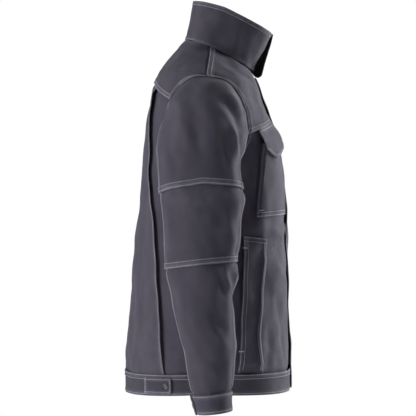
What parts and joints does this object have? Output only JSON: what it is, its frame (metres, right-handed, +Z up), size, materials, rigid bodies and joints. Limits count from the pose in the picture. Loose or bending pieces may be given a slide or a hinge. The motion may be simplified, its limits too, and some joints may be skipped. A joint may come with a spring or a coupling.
{
  "type": "welding jacket",
  "caption": "Welder's work jacket in heavy dark grey cloth: stand collar, yokes, pleated back, storm flap over a zip, flapped chest pockets, hand pockets and snap cuffs.",
  "frame": {"origin": "the point where a hook carries the hanger loop, inside the back of the neck", "axes": "+Z up with the jacket hanging, +Y from the wearer's chest to the back, so the wearer faces -Y and the wearer's right sleeve is at -X"},
  "size_m": [0.7004, 0.3385, 0.8019],
  "materials": {
    "shell": "matt woven twill, anthracite with a violet cast",
    "facing": "matt black lining cloth",
    "zip_tape": "black woven tape",
    "zip_teeth": "aged metal teeth",
    "snap_metal": "dark satin metal"
  },
  "bodies": {
    "torso": {"back_yoke": "shell", "back_panel": "shell", "side_back_right": "shell", "side_back_left": "shell", "front_yoke_right": "shell", "front_yoke_left": "shell", "front_panel_right": "shell", "front_panel_left": "shell", "waistband_front_right": "shell", "waistband_front_left": "shell", "waistband_back": "shell", "collar": "shell", "collar_facing": "facing", "zip_teeth_right": "zip_teeth", "zip_teeth_left": "zip_teeth", "zip_tape_right": "zip_tape", "zip_tape_left": "zip_tape", "front_facing_right": "facing", "front_facing_left": "facing", "flap_stud_1": "snap_metal", "flap_stud_2": "snap_metal", "flap_stud_3": "snap_metal", "flap_stud_4": "snap_metal", "chest_pocket_right": "shell", "chest_pocket_left": "shell", "hand_pocket_right": "shell", "hand_pocket_left": "shell", "hanger_loop": "zip_tape"},
    "sleeve_right": {"sleeve_upper_right": "shell", "undersleeve_upper_right": "shell", "sleeve_elbow_right": "shell", "undersleeve_elbow_right": "shell"},
    "sleeve_left": {"sleeve_upper_left": "shell", "undersleeve_upper_left": "shell", "sleeve_elbow_left": "shell", "undersleeve_elbow_left": "shell"},
    "forearm_right": {"sleeve_forearm_right": "shell", "undersleeve_forearm_right": "shell", "cuff_right": "shell", "cuff_snap_right": "snap_metal"},
    "forearm_left": {"sleeve_forearm_left": "shell", "undersleeve_forearm_left": "shell", "cuff_left": "shell", "cuff_snap_left": "snap_metal"},
    "chest_flap_right": {"chest_flap_right": "shell"},
    "chest_flap_left": {"chest_flap_left": "shell"},
    "storm_flap": {"storm_flap": "shell", "flap_socket_1": "snap_metal", "flap_socket_2": "snap_metal", "flap_socket_3": "snap_metal", "flap_socket_4": "snap_metal"},
    "collar_tab": {"collar_tab": "facing"},
    "waist_tab_right": {"waist_tab_right": "shell", "waist_snap_right": "snap_metal"},
    "waist_tab_left": {"waist_tab_left": "shell", "waist_snap_left": "snap_metal"},
    "zip_slider": {"zip_slider": "snap_metal", "zip_pull": "snap_metal"}
  },
  "joints": [
    {"name": "shoulder_lift_right", "type": "hinge", "parent": "torso", "child": "sleeve_right", "pos_m": [-0.224, -0.035, -0.084], "axis": [0, 1, 0], "range_deg": [0, 45]},
    {"name": "elbow_right", "type": "hinge", "parent": "sleeve_right", "child": "forearm_right", "pos_m": [-0.298, -0.0926, -0.4316], "axis": [-1, 0, 0], "range_deg": [0, 45]},
    {"name": "chest_flap_hinge_right", "type": "hinge", "parent": "torso", "child": "chest_flap_right", "pos_m": [-0.1047, -0.1636, -0.1673], "axis": [-0.9558, 0.2595, -0.1381], "range_deg": [0, 100]},
    {"name": "waist_tab_hinge_right", "type": "hinge", "parent": "torso", "child": "waist_tab_right", "pos_m": [-0.1627, 0.0863, -0.6719], "axis": [0, 0, -1], "range_deg": [0, 80]},
    {"name": "shoulder_lift_left", "type": "hinge", "parent": "torso", "child": "sleeve_left", "pos_m": [0.224, -0.035, -0.084], "axis": [0, -1, 0], "range_deg": [0, 45]},
    {"name": "elbow_left", "type": "hinge", "parent": "sleeve_left", "child": "forearm_left", "pos_m": [0.298, -0.0926, -0.4316], "axis": [-1, 0, 0], "range_deg": [0, 45]},
    {"name": "chest_flap_hinge_left", "type": "hinge", "parent": "torso", "child": "chest_flap_left", "pos_m": [0.1047, -0.1636, -0.1673], "axis": [-0.9558, -0.2595, 0.1381], "range_deg": [0, 100]},
    {"name": "waist_tab_hinge_left", "type": "hinge", "parent": "torso", "child": "waist_tab_left", "pos_m": [0.1627, 0.0863, -0.6719], "axis": [0, 0, 1], "range_deg": [0, 80]},
    {"name": "storm_flap_hinge", "type": "hinge", "parent": "torso", "child": "storm_flap", "pos_m": [0.0312, -0.2032, -0.38], "axis": [0, 0, 1], "range_deg": [0, 75]},
    {"name": "collar_tab_hinge", "type": "hinge", "parent": "torso", "child": "collar_tab", "pos_m": [0.0015, -0.1455, -0.0215], "axis": [0, -0.4622, 0.8868], "range_deg": [-10, 70]},
    {"name": "zip_slide", "type": "slide", "parent": "torso", "child": "zip_slider", "axis": [0, -0.0186, -0.9998], "range_m": [0, 0.2]}
  ]
}
